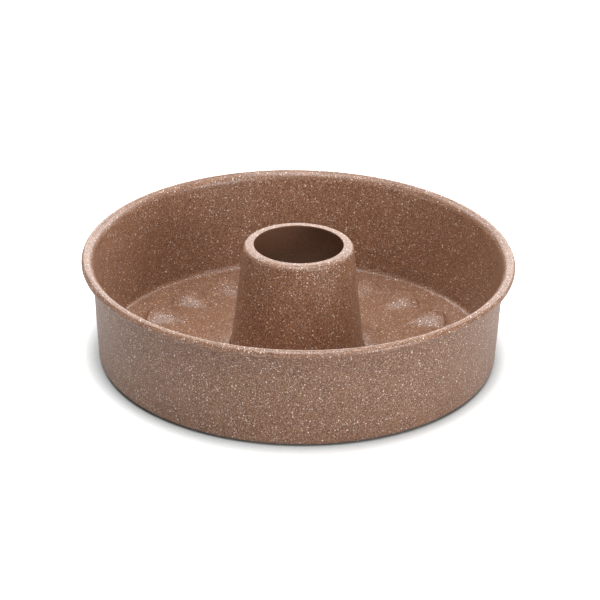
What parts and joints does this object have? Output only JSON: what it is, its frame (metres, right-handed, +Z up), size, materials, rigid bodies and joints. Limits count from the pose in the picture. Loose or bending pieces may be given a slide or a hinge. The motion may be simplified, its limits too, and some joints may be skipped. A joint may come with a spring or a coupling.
{
  "type": "ring cake pan",
  "caption": "Round straight-sided ring cake pan with an open tapered centre tube, a rolled rim and a ring of raised petals pressed into its floor.",
  "frame": {"origin": "on the pan's axis at the surface it stands on", "axes": "+Z up along the axis of the pan and its tube; a petal's middle lies on +X, and the pan is alike every 18 degrees"},
  "size_m": [0.254, 0.254, 0.0696],
  "materials": {
    "shell_coating": "satin stone-effect non-stick coating, brown with fine pale specks",
    "tube_coating": "satin stone-effect non-stick coating, brown with fine pale specks"
  },
  "bodies": {
    "root": {"pan_shell": "shell_coating", "centre_tube": "tube_coating"}
  },
  "joints": []
}
